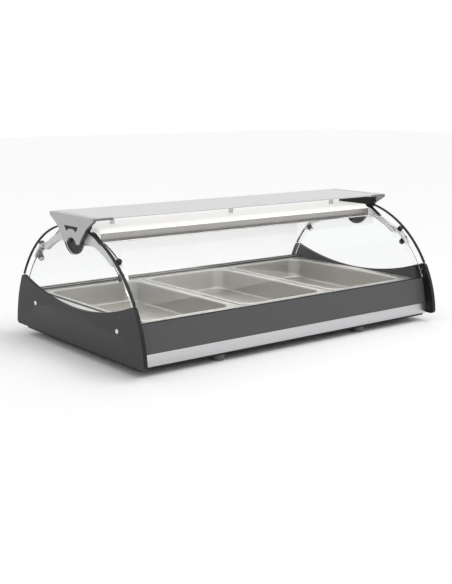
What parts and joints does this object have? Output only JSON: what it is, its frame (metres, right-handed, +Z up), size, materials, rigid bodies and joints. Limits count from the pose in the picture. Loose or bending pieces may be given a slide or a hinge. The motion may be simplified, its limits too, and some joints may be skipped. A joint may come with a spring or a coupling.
{
  "type": "heated bain-marie display",
  "caption": "Countertop heated food display with a water well, gastronorm pans, a shelf on top and curved glass lids that swing up at front and rear.",
  "frame": {"origin": "on the table plane under the middle of the display", "axes": "+X along the length, +Y from the front towards the service side, +Z up"},
  "size_m": [1.102, 0.6978, 0.388],
  "materials": {
    "end_grey": "satin",
    "front_grey": "satin",
    "trim": "brushed",
    "tray_black": "matt",
    "stainless": "brushed",
    "clear_glass": "polished",
    "edging": "matt",
    "cast_grey": "satin",
    "arm_metal": "satin",
    "black_plastic": "matt",
    "chrome": "polished",
    "shelf": "satin",
    "lamp_metal": "polished",
    "opal": "matt",
    "light_strip": "matt",
    "pad_rubber": "matt",
    "nylon": "matt",
    "mat": "woven",
    "element_steel": "brushed",
    "driver_case": "matt",
    "rocker_plastic": "gloss",
    "signal_lens": "gloss",
    "drain_plastic": "matt",
    "foot_grey": "matt"
  },
  "bodies": {
    "cabinet": {"base_tray": "tray_black", "bracket_left": "cast_grey", "bracket_right": "cast_grey", "bracket_screws": "chrome", "dome_edge_strips": "edging", "drain_spigot": "element_steel", "element_clips": "element_steel", "element_nuts": "element_steel", "end_panel_caps": "chrome", "end_panel_left": "end_grey", "end_panel_right": "end_grey", "feet": "foot_grey", "friction_washers": "nylon", "front_panel": "front_grey", "front_trim": "trim", "heating_element": "element_steel", "inlet_gland": "black_plastic", "insulation": "mat", "lamp_diffuser": "opal", "lamp_hangers": "shelf", "lamp_housing": "lamp_metal", "light_driver": "driver_case", "light_strips": "light_strip", "light_switch": "black_plastic", "pan_bars": "stainless", "panel_seals": "edging", "pilot_lamp": "signal_lens", "pivot_housing_left": "black_plastic", "pivot_housing_right": "black_plastic", "pivot_pins": "chrome", "power_switch": "black_plastic", "rear_panel": "stainless", "shelf_plate": "shelf", "side_glass_left": "clear_glass", "side_glass_right": "clear_glass", "terminal_block": "nylon", "thermostat_body": "black_plastic", "thermostat_bulb": "element_steel", "water_tank": "stainless"},
    "front_lid": {"front_glass": "clear_glass", "front_arms": "arm_metal", "front_arm_covers": "black_plastic", "front_pads": "pad_rubber", "front_clamp_bolts": "chrome", "front_bumpers": "pad_rubber"},
    "rear_lid": {"rear_glass": "clear_glass", "rear_arms": "arm_metal", "rear_arm_covers": "black_plastic", "rear_pads": "pad_rubber", "rear_clamp_bolts": "chrome", "rear_bumpers": "pad_rubber"},
    "pan_left_body": {"pan_left": "stainless"},
    "pan_middle_body": {"pan_middle": "stainless"},
    "pan_right_body": {"pan_right": "stainless"},
    "thermostat_dial": {"thermostat_knob": "black_plastic", "thermostat_shaft": "element_steel"},
    "power_key": {"power_rocker": "rocker_plastic"},
    "light_key": {"light_rocker": "rocker_plastic"},
    "drain_closure": {"drain_cap": "drain_plastic"}
  },
  "joints": [
    {"name": "front_lid_hinge", "type": "hinge", "parent": "cabinet", "child": "front_lid", "pos_m": [0, -0.038, 0.322], "axis": [-1, 0, 0], "range_deg": [0, 33]},
    {"name": "rear_lid_hinge", "type": "hinge", "parent": "cabinet", "child": "rear_lid", "pos_m": [0, 0.038, 0.322], "axis": [1, 0, 0], "range_deg": [0, 33]},
    {"name": "pan_left_lift", "type": "slide", "parent": "cabinet", "child": "pan_left_body", "axis": [0, 0, 1], "range_m": [0, 0.06]},
    {"name": "pan_middle_lift", "type": "slide", "parent": "cabinet", "child": "pan_middle_body", "axis": [0, 0, 1], "range_m": [0, 0.06]},
    {"name": "pan_right_lift", "type": "slide", "parent": "cabinet", "child": "pan_right_body", "axis": [0, 0, 1], "range_m": [0, 0.06]},
    {"name": "thermostat_turn", "type": "hinge", "parent": "cabinet", "child": "thermostat_dial", "pos_m": [0.3, 0.31, 0.096], "axis": [0, -1, 0], "range_deg": [0, 270]},
    {"name": "power_tilt", "type": "hinge", "parent": "cabinet", "child": "power_key", "pos_m": [0.2, 0.304, 0.096], "axis": [1, 0, 0], "range_deg": [0, 16]},
    {"name": "light_tilt", "type": "hinge", "parent": "cabinet", "child": "light_key", "pos_m": [0.15, 0.304, 0.096], "axis": [1, 0, 0], "range_deg": [0, 16]},
    {"name": "drain_cap_turn", "type": "hinge", "parent": "cabinet", "child": "drain_closure", "pos_m": [-0.502, 0.224, 0.012], "axis": [0, 0, 1], "range_deg": [0, 90]}
  ]
}
